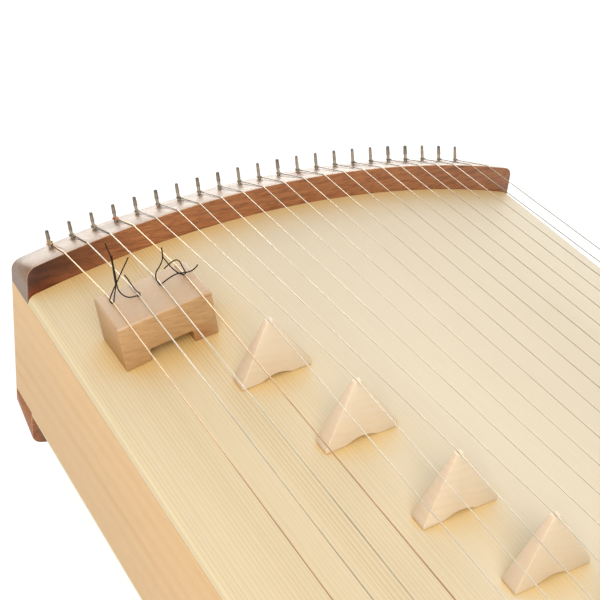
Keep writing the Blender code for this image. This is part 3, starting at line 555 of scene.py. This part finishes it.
def dressed(node_name, body, surface, ease, segments=2, limit=40.0, outline=False):
    """The solid's own shape as one skin, its real edges eased, riding where the solid rides."""
    source = frame["nodes"][node_name]
    piece = link("fine_" + node_name, source.data.copy())
    piece.data.materials.clear()
    piece.data.materials.append(surface)
    activate(piece)
    bpy.ops.object.mode_set(mode="EDIT")
    bpy.ops.mesh.select_all(action="SELECT")
    bpy.ops.mesh.remove_doubles(threshold=0.00001)
    bpy.ops.mesh.dissolve_limited(angle_limit=math.radians(0.3))
    bpy.ops.mesh.select_all(action="DESELECT")
    bpy.ops.object.mode_set(mode="OBJECT")
    if outline:
        ease_outline(piece, ease)
    else:
        bevel = piece.modifiers.new("eased edges", "BEVEL")
        bevel.width = ease
        bevel.segments = segments
        bevel.limit_method = "ANGLE"
        bevel.angle_limit = math.radians(limit)
        bevel.harden_normals = False
        bpy.ops.object.modifier_apply(modifier=bevel.name)
    bpy.ops.object.mode_set(mode="EDIT")
    bpy.ops.mesh.select_all(action="SELECT")
    bpy.ops.mesh.remove_doubles(threshold=0.000001)
    bpy.ops.object.mode_set(mode="OBJECT")
    bpy.ops.object.shade_smooth_by_angle(angle=math.radians(35))
    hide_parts(node_name)
    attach(piece, body)
    return piece


def body_with(node_name):
    return frame["nodes"][node_name]["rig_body"]


def make_woodwork():
    for name in ("upper_soundboard", "lower_soundboard"):
        dressed(name, "box", SPRUCE, 0.8 * MM, limit=12.0)
    for name in ("side_panel_tanpura_side", "side_panel_koto_side"):
        dressed(name, "box", SIDE_WOOD, 0.3 * MM)
    for name in ("end_board_pin_end", "end_board_far_end"):
        dressed(name, "box", WALNUT, 0.5 * MM, outline=True)
    for name in ("upper_brace_frame", "lower_brace_frame"):
        dressed(name, "box", SPRUCE, 0.4 * MM)
    for name in ("monochord_bridge_pin_end", "monochord_bridge_far_end"):
        dressed(name, "box", BRIDGE_MAPLE, 1.2 * MM, 3)
    for name in sorted(frame["nodes"]):
        if name.startswith("koto_bridge"):
            dressed(name, body_with(name), BRIDGE_MAPLE, 0.45 * MM)
        elif name.startswith("tanpura_bridge"):
            dressed(name, body_with(name), BLOCK_WOOD, 0.35 * MM, limit=25.0)
        elif name.startswith("rubber_foot"):
            dressed(name, "box", RUBBER, 1.0 * MM, 3)


# Places of the strings

def arc(radius, crest, y):
    return crest - radius + math.sqrt(radius ** 2 - y ** 2)


def flip(z):
    return 2 * MIDDLE_Z - z


def rail_top(y, setback):
    share = setback / END_THICKNESS
    nut = arc(NUT_RADIUS, NUT_CREST, y)
    return nut + (arc(OUTER_RADIUS, OUTER_CREST, y) - nut) * share


def frame_on(axis, point):
    side = Vector((1, 0, 0))
    side = (side - axis * side.dot(axis)).normalized()
    turn = Matrix((side, axis.cross(side), axis)).transposed().to_4x4()
    return Matrix.Translation(point) @ turn


def pin_frames():
    """Placings of the tuning pins, in order, from their joints."""
    turns = [j for j in frame["joints"] if j["name"].startswith("tuning_pin")]
    turns.sort(key=lambda j: j["name"])
    return [frame_on(Vector(j["axis"]).normalized(), Vector(j["pos_m"])) for j in turns]


def string_y(index):
    return STRING_SHIFT + (index - (STRING_COUNT - 1) / 2) * STRING_SPACING


def mono_y(index):
    return (index - (MONO_COUNT - 1) / 2) * MONO_SPACING


def mono_pin_frame(index):
    y = mono_y(index) - PIN_RADIUS - MONO_WIRE - CLEARANCE
    axis = Vector((-math.tan(PIN_LEAN), y / PIN_FAN_RADIUS, -1)).normalized()
    return frame_on(axis, Vector((NUT_X - PIN_SETBACK, y, flip(rail_top(y, PIN_SETBACK)))))


def hitch_frame(y, lower=False):
    axis = Vector((math.tan(HITCH_LEAN), 0, -1 if lower else 1)).normalized()
    z = rail_top(y, HITCH_SETBACK)
    return frame_on(axis, Vector((INNER_X + HITCH_SETBACK, y, flip(z) if lower else z)))


def nut_point(y, wire, end, lower=False):
    z = arc(NUT_RADIUS, NUT_CREST, y) + wire + 0.1 * MM
    return Vector((end * INNER_X, y, flip(z) if lower else z))


def bridge_tip(index):
    name = "koto_bridge_%02d" % (index - TANPURA_COUNT + 1)
    low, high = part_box(name)
    turn = math.asin(string_y(index) / (BOARD_RADIUS + BRIDGE_HEIGHT))
    z = CREST_Z - BOARD_RADIUS + (BOARD_RADIUS + BRIDGE_HEIGHT) * math.cos(turn)
    return name, Vector(((low.x + high.x) / 2, string_y(index), z))


def block_frame(name):
    """Placing of a tanpura bridge's top: X along the strings, Y across its width."""
    low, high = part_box(name)
    turn = math.asin(BLOCK_Y / BOARD_RADIUS)
    place = Matrix.Translation(((low.x + high.x) / 2, BLOCK_Y, arc(BOARD_RADIUS, CREST_Z, BLOCK_Y)))
    return place @ Matrix.Rotation(-turn, 4, "X") @ Matrix.Translation((0, 0, BLOCK_HEIGHT))


def block_crossing(index, name, setback=EDGE_SETBACK, lift=EDGE_LIFT):
    """Middle of a tanpura string over a tanpura bridge, and its place across the bridge."""
    place = block_frame(name)
    low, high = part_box(name)
    end = 1 if low.x > 0 else -1
    across = place.to_3x3() @ Vector((0, 1, 0))
    start = place @ Vector((end * ((high.x - low.x) / 2 - setback), 0, lift))
    y = TANPURA_MIDDLE + (index - (TANPURA_COUNT - 1) / 2) * TANPURA_SPACING
    u = (y - start.y) / across.y
    return start + across * u, u


# Wires

def wire(name, routes, radius, surface, slot, body=None, sides=2, cyclic=False):
    """Round wires along routes, as one mesh."""
    curve = bpy.data.curves.new(name, "CURVE")
    curve.dimensions = "3D"
    curve.bevel_depth = radius
    curve.bevel_resolution = sides
    curve.use_fill_caps = True
    for route in routes:
        spline = curve.splines.new("POLY")
        spline.points.add(len(route) - 1)
        for point, place in zip(spline.points, route):
            point.co = (*place, 1.0)
    piece = link(name, curve)
    activate(piece)
    bpy.ops.object.convert(target="MESH")
    piece = bpy.context.object
    piece.data.materials.clear()
    piece.data.materials.append(surface)
    bpy.ops.object.shade_smooth_by_angle(angle=math.radians(50))
    if body:
        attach(piece, body)
    return piece


def coil_exit(place, radius):
    return place @ Vector((0, PIN_RADIUS + radius + 0.05 * MM, COIL_START))


def hitch_loop(y, radius, lower=False):
    """A string's far end, once round its hitch pin and twisted back on itself."""
    place = hitch_frame(y, lower)
    reach = HITCH_RADIUS + radius + 0.05 * MM
    level = PLATE_THICKNESS + 1.6 * MM
    points = []
    for i in range(13):
        a = math.radians(-100 + 200 * i / 12)
        points.append(place @ Vector((reach * math.cos(a), reach * math.sin(a), level)))
    tail = place @ Vector((-6 * MM, 0.2 * MM, level + 0.9 * MM))
    return points + [tail]


def make_strings():
    pins = pin_frames()
    first = None
    for index in range(TANPURA_COUNT, STRING_COUNT):
        name, tip = bridge_tip(index)
        y = string_y(index)
        number = index + 1
        start = coil_exit(pins[index], KOTO_WIRE)
        near = wire("koto_string_%02d_pin_side" % number,
                    [[start, nut_point(y, KOTO_WIRE, -1), tip - Vector((BRIDGE_TIP / 2, 0, 0)), tip]],
                    KOTO_WIRE, STRING_STEEL, "string_steel")
        far = wire("koto_string_%02d_far_side" % number,
                   [[tip, tip + Vector((BRIDGE_TIP / 2, 0, 0)), nut_point(y, KOTO_WIRE, 1)] + hitch_loop(y, KOTO_WIRE)],
                   KOTO_WIRE, CLEAN_STEEL, "string_steel")
        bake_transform(near)
        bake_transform(far)
        first = first or near
    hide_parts("upper_string_set")

    near_block, far_block = "tanpura_bridge_pin_end", "tanpura_bridge_far_end"
    for surface, label, chosen in ((BRONZE, "bronze", (0, 3)), (DRONE_STEEL, "steel", (1, 2))):
        near, middle, beyond, far = [], [], [], []
        for index in chosen:
            y = string_y(index)
            a = block_crossing(index, near_block)[0]
            thread = block_crossing(index, near_block, THREAD_SETBACK, THREAD_LIFT)[0]
            b = block_crossing(index, far_block)[0]
            half_way = (thread + b) / 2
            near.append([coil_exit(pins[index], TANPURA_WIRE), nut_point(y, TANPURA_WIRE, -1), a])
            middle.append([a, thread, thread + (half_way - thread) * 0.06, half_way])
            beyond.append([half_way, b])
            far.append([b, nut_point(y, TANPURA_WIRE, 1)] + hitch_loop(y, TANPURA_WIRE))
        made = wire("tanpura_strings_%s_pin_end" % label, near, TANPURA_WIRE, surface, "string_steel")
        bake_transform(made)
        made = wire("tanpura_strings_%s_over_bridge" % label, middle, TANPURA_WIRE, surface, "string_steel")
        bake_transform(made)
        made = wire("tanpura_strings_%s_beyond" % label, beyond, TANPURA_WIRE, surface, "string_steel")
        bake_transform(made)
        made = wire("tanpura_strings_%s_far_end" % label, far, TANPURA_WIRE, surface, "string_steel")
        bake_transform(made)

    turn = INNER_X - MONO_BRIDGE_X
    routes = []
    for index in range(MONO_COUNT):
        y = mono_y(index)
        top = flip(arc(BOARD_RADIUS, CREST_Z, y) + MONO_BRIDGE_HEIGHT + MONO_WIRE + 0.1 * MM)
        routes.append([coil_exit(mono_pin_frame(index), MONO_WIRE), nut_point(y, MONO_WIRE, -1, True),
                       Vector((-turn - 5 * MM, y, top)), Vector((turn + 5 * MM, y, top)),
                       nut_point(y, MONO_WIRE, 1, True)] + hitch_loop(y, MONO_WIRE, True))
    made = wire("monochord_strings", routes, MONO_WIRE, STRING_STEEL, "string_steel", "box")
    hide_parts("monochord_string_set")


# Pins

def pin_template():
    """A slim zither pin: round shank, square tapered head with eased corners and a rounded top."""
    deselect()
    length = PIN_DEPTH + PIN_SHOULDER
    bpy.ops.mesh.primitive_cylinder_add(vertices=24, radius=PIN_RADIUS, depth=length,
                                        location=(0, 0, (PIN_SHOULDER - PIN_DEPTH) / 2))
    shank = bpy.context.object
    bpy.ops.object.mode_set(mode="EDIT")
    select_faces(shank, lambda f: f.normal.z > 0.9)
    bpy.ops.mesh.inset(thickness=0.2 * MM)
    bpy.ops.transform.translate(value=(0, 0, 0.3 * MM))
    bpy.ops.object.mode_set(mode="OBJECT")
    bpy.ops.object.shade_smooth_by_angle(angle=math.radians(35))
    deselect()
    head_length = PIN_EXPOSED - PIN_SHOULDER
    bpy.ops.mesh.primitive_cube_add(size=1, location=(0, 0, PIN_SHOULDER + head_length / 2))
    head = bpy.context.object
    head.scale = (PIN_NECK, PIN_NECK, head_length)
    bpy.ops.object.transform_apply(location=True, rotation=False, scale=True)
    bpy.ops.object.mode_set(mode="EDIT")
    select_faces(head, lambda f: f.normal.z > 0.9)
    bpy.ops.transform.resize(value=(PIN_HEAD / PIN_NECK,) * 2 + (1,))
    bpy.ops.mesh.bevel(offset=0.95 * MM, segments=5, affect="EDGES")
    select_edges(head, lambda a, b: abs(a.z - b.z) > head_length / 2)
    bpy.ops.mesh.bevel(offset=0.35 * MM, segments=2, affect="EDGES")
    bpy.ops.object.mode_set(mode="OBJECT")
    bpy.ops.object.shade_smooth_by_angle(angle=math.radians(50))
    head.select_set(True)
    shank.select_set(True)
    bpy.context.view_layer.objects.active = shank
    bpy.ops.object.join()
    bpy.ops.object.transform_apply(location=True, rotation=True, scale=True)
    height = shank.data.attributes.new("height", "FLOAT", "POINT")
    for mark, corner in zip(height.data, shank.data.vertices):
        mark.value = max(0.0, corner.co.z / PIN_EXPOSED)
    return shank


def coil_route(turns, radius, reach_out, loose=0.0):
    """Turns of a string round its pin, loose toward the string, from a bent-back end down to where it leaves."""
    reach = PIN_RADIUS + radius + 0.05 * MM
    pitch = 2 * radius + (0.10 + 0.35 * loose) * MM
    steps = round(turns * 24)
    route = []
    for i in range(steps + 1):
        a = math.pi / 2 + 2 * math.pi * (steps - i) / 24
        slack = 0.55 * MM * max(0.0, math.cos(a - 0.9)) * min(1.0, (steps - i) / 12)
        wander = loose * min(1.0, (steps - i) / 6)
        r = reach + slack + 0.30 * MM * wander * (1 + math.sin(1.37 * a))
        z = COIL_START + pitch * (steps - i) / 24 + 0.25 * MM * wander * math.sin(1.61 * a)
        route.append(Vector((r * math.cos(a), r * math.sin(a), z)))
    start = route[0]
    along = (route[0] - route[1])
    along = Vector((along.x, along.y, 0)).normalized()
    side = Vector((along.y, -along.x, 0))
    tail = []
    for forward, across, down in ((0.8, 0.0, 0.1), (1.7, 0.1, 0.4), (2.5, 0.2, 0.9), (2.9, 0.5, 1.3),
                                  (2.5, 0.9, 1.4), (1.7, 0.9, 1.2)):
        tail.append(start + along * forward * reach_out * MM + side * across * MM - Vector((0, 0, down * MM)))
    return list(reversed(smooth_route([start] + tail, 3)[1:])) + route


def copies(template, name, places, surface, body):
    """The template once at each place, as one piece."""
    made = []
    for place in places:
        mesh = template.data.copy()
        mesh.transform(place)
        made.append(link(name, mesh))
    deselect()
    for piece in made:
        piece.select_set(True)
    bpy.context.view_layer.objects.active = made[0]
    if len(made) > 1:
        bpy.ops.object.join()
    whole = bpy.context.view_layer.objects.active
    whole.name = name
    whole.data.materials.clear()
    whole.data.materials.append(surface)
    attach(whole, body)
    return whole


def make_pins():
    template = pin_template()
    for index, place in enumerate(pin_frames()):
        body = "tuning_pin_%02d" % (index + 1)
        turned = place @ Matrix.Rotation(random.uniform(0, math.pi / 2), 4, "Z")
        pin = copies(template, "fine_pin_%02d" % (index + 1), [turned], PIN_STEEL, body)
        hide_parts(body)
        radius = TANPURA_WIRE if index < TANPURA_COUNT else KOTO_WIRE
        turns = (2.66 if index == 0 else 1.66) + random.uniform(-0.04, 0.04)
        loose = 1.0 if index == 0 else 0.25
        route = [place @ p for p in coil_route(turns, radius, random.uniform(0.9, 1.15), loose)]
        surface = {0: BRASS, 3: COPPER}.get(index, COIL_STEEL)
        wire("coil_%02d" % (index + 1), [route], radius, surface, "pin_steel", body)
    places = [mono_pin_frame(index) for index in range(MONO_COUNT)]
    copies(template, "monochord_pins", places, PIN_STEEL, "box")
    routes = [[place @ p for p in coil_route(1.66, MONO_WIRE, 1.0, 0.25)] for place in places]
    wire("monochord_coils", routes, MONO_WIRE, COIL_STEEL, "pin_steel", "box")
    bpy.data.objects.remove(template, do_unlink=True)


def hitch_pin_template():
    """A round hitch pin with a domed top."""
    deselect()
    depth = 10 * MM + HITCH_EXPOSED
    bpy.ops.mesh.primitive_cylinder_add(vertices=20, radius=HITCH_RADIUS, depth=depth,
                                        location=(0, 0, HITCH_EXPOSED - depth / 2))
    pin = bpy.context.object
    bpy.ops.object.mode_set(mode="EDIT")
    select_faces(pin, lambda f: f.normal.z > 0.9)
    bpy.ops.mesh.bevel(offset=0.6 * MM, segments=4, affect="EDGES")
    bpy.ops.object.mode_set(mode="OBJECT")
    bpy.ops.object.transform_apply(location=True, rotation=True, scale=True)
    bpy.ops.object.shade_smooth_by_angle(angle=math.radians(40))
    return pin


def hitch_plate(label, half, lower):
    """A steel strip across the far end board: its section is spun along the rail's arc."""
    crest = rail_top(0, HITCH_SETBACK) + CLEARANCE + PLATE_THICKNESS / 2
    slope = math.atan2(rail_top(0, 0) - rail_top(0, END_THICKNESS), END_THICKNESS)
    radius = (NUT_RADIUS + OUTER_RADIUS) / 2
    x = INNER_X + HITCH_SETBACK
    up = -1 if lower else 1
    top = flip(crest) if lower else crest
    centre = (x, 0, top - up * radius)
    reach = math.asin(half / radius)
    deselect()
    bpy.ops.mesh.primitive_plane_add(size=1, location=(x, 0, top), rotation=(math.pi / 2, 0, 0))
    plate = bpy.context.object
    plate.scale = (PLATE_WIDTH, PLATE_THICKNESS, 1)
    bpy.ops.object.transform_apply(location=True, rotation=True, scale=True)
    plate.data.transform(Matrix.Translation((x, 0, top)) @ Matrix.Rotation(up * slope, 4, "Y")
                         @ Matrix.Translation((-x, 0, -top)))
    plate.data.transform(Matrix.Translation(centre) @ Matrix.Rotation(reach, 4, "X")
                         @ Matrix.Translation(-Vector(centre)))
    bpy.ops.object.mode_set(mode="EDIT")
    bpy.ops.mesh.select_all(action="SELECT")
    bpy.ops.mesh.spin(steps=40, angle=2 * reach, center=centre, axis=(1, 0, 0))
    bpy.ops.mesh.select_all(action="SELECT")
    bpy.ops.mesh.normals_make_consistent(inside=False)
    bpy.ops.object.mode_set(mode="OBJECT")
    plate.name = "hitch_plate_" + label
    bevel = plate.modifiers.new("eased edges", "BEVEL")
    bevel.width = 0.3 * MM
    bevel.segments = 2
    bevel.limit_method = "ANGLE"
    bpy.ops.object.modifier_apply(modifier=bevel.name)
    bpy.ops.object.shade_smooth_by_angle(angle=math.radians(35))
    plate.data.materials.append(PIN_STEEL)
    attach(plate, "box")


def make_hitch_hardware():
    """The far end's plates and hitch pins, above and below."""
    template = hitch_pin_template()
    for label, lower, ys in (("upper", False, [string_y(i) for i in range(STRING_COUNT)]),
                             ("lower", True, [mono_y(i) for i in range(MONO_COUNT)])):
        hitch_plate(label, max(abs(ys[0]), ys[-1]) + 6 * MM, lower)
        copies(template, "hitch_pins_" + label, [hitch_frame(y, lower) for y in ys], PIN_STEEL, "box")
    bpy.data.objects.remove(template, do_unlink=True)


# Threads

def smooth_route(points, steps=8):
    points = [Vector(p) for p in points]
    path = [2 * points[0] - points[1]] + points + [2 * points[-1] - points[-2]]
    route = []
    for p0, p1, p2, p3 in zip(path, path[1:], path[2:], path[3:]):
        for k in range(steps):
            t = k / steps
            route.append(0.5 * (2 * p1 + (p2 - p0) * t + (2 * p0 - 5 * p1 + 4 * p2 - p3) * t * t
                                + (3 * p1 - p0 - 3 * p2 + p3) * t ** 3))
    route.append(points[-1])
    return route


def loop_under(u, along=0.0, sense=1):
    """A thread passing under a string, from one side of it to the other, in millimetres."""
    reach = 1.0
    points = []
    for degrees in (0, 60, 120, 180):
        a = math.radians(degrees)
        points.append((along, u + sense * reach * math.cos(a), THREAD_LIFT / MM - reach * math.sin(a)))
    return points


def by(u, *points):
    """Places in millimetres from a string: along it, across the bridge and above it."""
    return [(along, u + across, up) for along, across, up in points]


def make_threads():
    """Two pairs of black threads tied under the tanpura strings, with their free ends up."""
    name = "tanpura_bridge_pin_end"
    low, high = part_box(name)
    place = block_frame(name) @ Matrix.Translation((THREAD_SETBACK - (high.x - low.x) / 2, 0, 0))
    u1, u2, u3, u4 = (block_crossing(i, name, THREAD_SETBACK, THREAD_LIFT)[1] / MM for i in range(TANPURA_COUNT))
    outer = [by(u1, (-12.3, 7.1, 40.1), (-10.3, 7.2, 36.4), (-8.6, 7.6, 32.0), (-7.1, 7.2, 27.4), (-4.5, 5.9, 19.8),
                (-2.9, 4.9, 12.2), (-2.4, 3.1, 7.5))
             + loop_under(u1, -2.0, 1)
             + by(u1, (-2.6, -1.2, 3.7), (-3.3, 1.4, 7.3), (-4.5, 5.4, 11.7), (-5.1, 11.4, 19.3), (-6.3, 18.3, 27.2)),
             by(u1, (-9.9, 8.9, 31.0), (-7.5, 7.7, 26.2), (-3.9, 6.6, 20.1), (-1.9, 5.5, 13.0), (-0.9, 5.7, 8.9),
                (0.3, 7.6, 5.0), (1.3, 10.9, 2.4))
             + loop_under(u2, 1.9, -1)
             + by(u2, (1.7, 0.8, 3.0), (0.6, -0.7, 4.9), (-0.9, -2.3, 9.6), (-2.7, -3.5, 14.0), (-3.7, -4.6, 17.0))]
    inner = [by(u3, (-9.3, 8.3, 22.3), (-7.5, 7.6, 19.2), (-5.8, 6.0, 15.2), (-3.9, 2.5, 12.2), (-2.7, -0.4, 10.6),
                (-1.3, -2.2, 7.8), (-0.4, -1.8, 4.0))
             + loop_under(u3, 0.0, -1)
             + by(u3, (0.0, 2.6, 2.3), (0.0, 5.8, 3.4), (-0.1, 10.3, 4.2), (-0.3, 14.6, 3.6), (-0.5, 18.8, 2.0),
                  (-0.8, 22.2, 1.4), (-1.3, 25.5, 1.8), (-1.9, 28.3, 3.2)),
             by(u4, (-9.9, -8.6, 21.0), (-7.3, -9.7, 16.5), (-5.7, -9.0, 13.9), (-3.7, -7.6, 10.3), (-2.1, -6.0, 7.2),
                (-0.9, -3.4, 3.6))
             + loop_under(u4, -0.6, -1)
             + by(u4, (-0.6, 1.1, 2.9), (-1.3, 0.2, 6.9), (-2.5, -0.5, 10.6), (-3.5, -1.6, 12.0), (-4.1, -3.5, 12.2),
                  (-4.3, -6.4, 11.5), (-3.9, -9.7, 10.3), (-3.3, -11.9, 9.7))]
    for label, pair in (("outer", outer), ("inner", inner)):
        routes = [[place @ (p * MM) for p in smooth_route(points)] for points in pair]
        made = wire("thread_pair_" + label, routes, THREAD_RADIUS, COTTON, "thread", name, sides=3)
        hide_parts("bridge_thread_" + label)


# Camera, light and floor

def make_camera():
    data = bpy.data.cameras.new("camera")
    data.lens = CAMERA_LENS
    camera = link("camera", data)
    forward = Vector(CAMERA_FORWARD).normalized()
    level = forward.cross(Vector((0, 0, 1))).normalized()
    right = level * math.cos(CAMERA_ROLL) + level.cross(forward) * math.sin(CAMERA_ROLL)
    turn = Matrix((right, right.cross(forward), -forward)).transposed().to_4x4()
    camera.matrix_world = Matrix.Translation(CAMERA_PLACE) @ turn
    bpy.context.scene.camera = camera


def area_light(name, place, aim, size, power, colour=(1, 1, 1)):
    data = bpy.data.lights.new(name, "AREA")
    data.shape = "RECTANGLE"
    data.size, data.size_y = size
    data.energy = power
    data.color = colour
    light = link(name, data)
    light.location = place
    light.rotation_euler = (Vector(aim) - Vector(place)).to_track_quat("-Z", "Y").to_euler()
    return light


def make_studio():
    scene = bpy.context.scene
    scene.view_settings.view_transform = "Standard"
    world = bpy.data.worlds.new("studio")
    world.use_nodes = True
    world.node_tree.nodes["Background"].inputs["Color"].default_value = (1.0, 1.0, 1.0, 1.0)
    world.node_tree.nodes["Background"].inputs["Strength"].default_value = 0.55
    scene.world = world
    back = area_light("soft_back", (-2.6, 1.2, 0.75), (-0.3, 0, 0.2), (4.8, 1.6), 90.0, (1.0, 0.975, 0.90))
    back.visible_diffuse = False
    area_light("soft_key", (-1.9, -0.9, 1.9), (-0.2, 0, 0.1), (2.2, 1.6), 8.0)
    area_light("soft_top", (-0.3, 0.0, 2.6), (-0.3, 0.0, 0.2), (2.6, 2.6), 14.0)
    area_light("soft_rear", (-2.4, 1.8, 1.9), (0, 0, 0.15), (2.4, 1.8), 16.0)
    area_light("soft_side", (-0.2, -2.8, 0.9), (-0.2, 0, 0.1), (2.6, 1.2), 7.0)
    area_light("soft_fill", (3.0, -1.9, 3.5), (-0.3, 0, 0.15), (3.7, 2.9), 258.0, (1.0, 0.905, 0.765))
    deselect()
    bpy.ops.mesh.primitive_plane_add(size=40, location=(0, 0, 0))
    floor = bpy.context.object
    floor.name = "floor"
    surface, tree, shader = new_material("floor")
    shader.inputs["Base Color"].default_value = (0.30, 0.30, 0.30, 1.0)
    shader.inputs["Roughness"].default_value = 0.9
    shader.inputs["Emission Color"].default_value = (1.0, 1.0, 1.0, 1.0)
    shader.inputs["Emission Strength"].default_value = 0.75
    floor.data.materials.append(surface)


make_camera()
make_woodwork()
make_strings()
make_pins()
make_hitch_hardware()
make_threads()
make_studio()
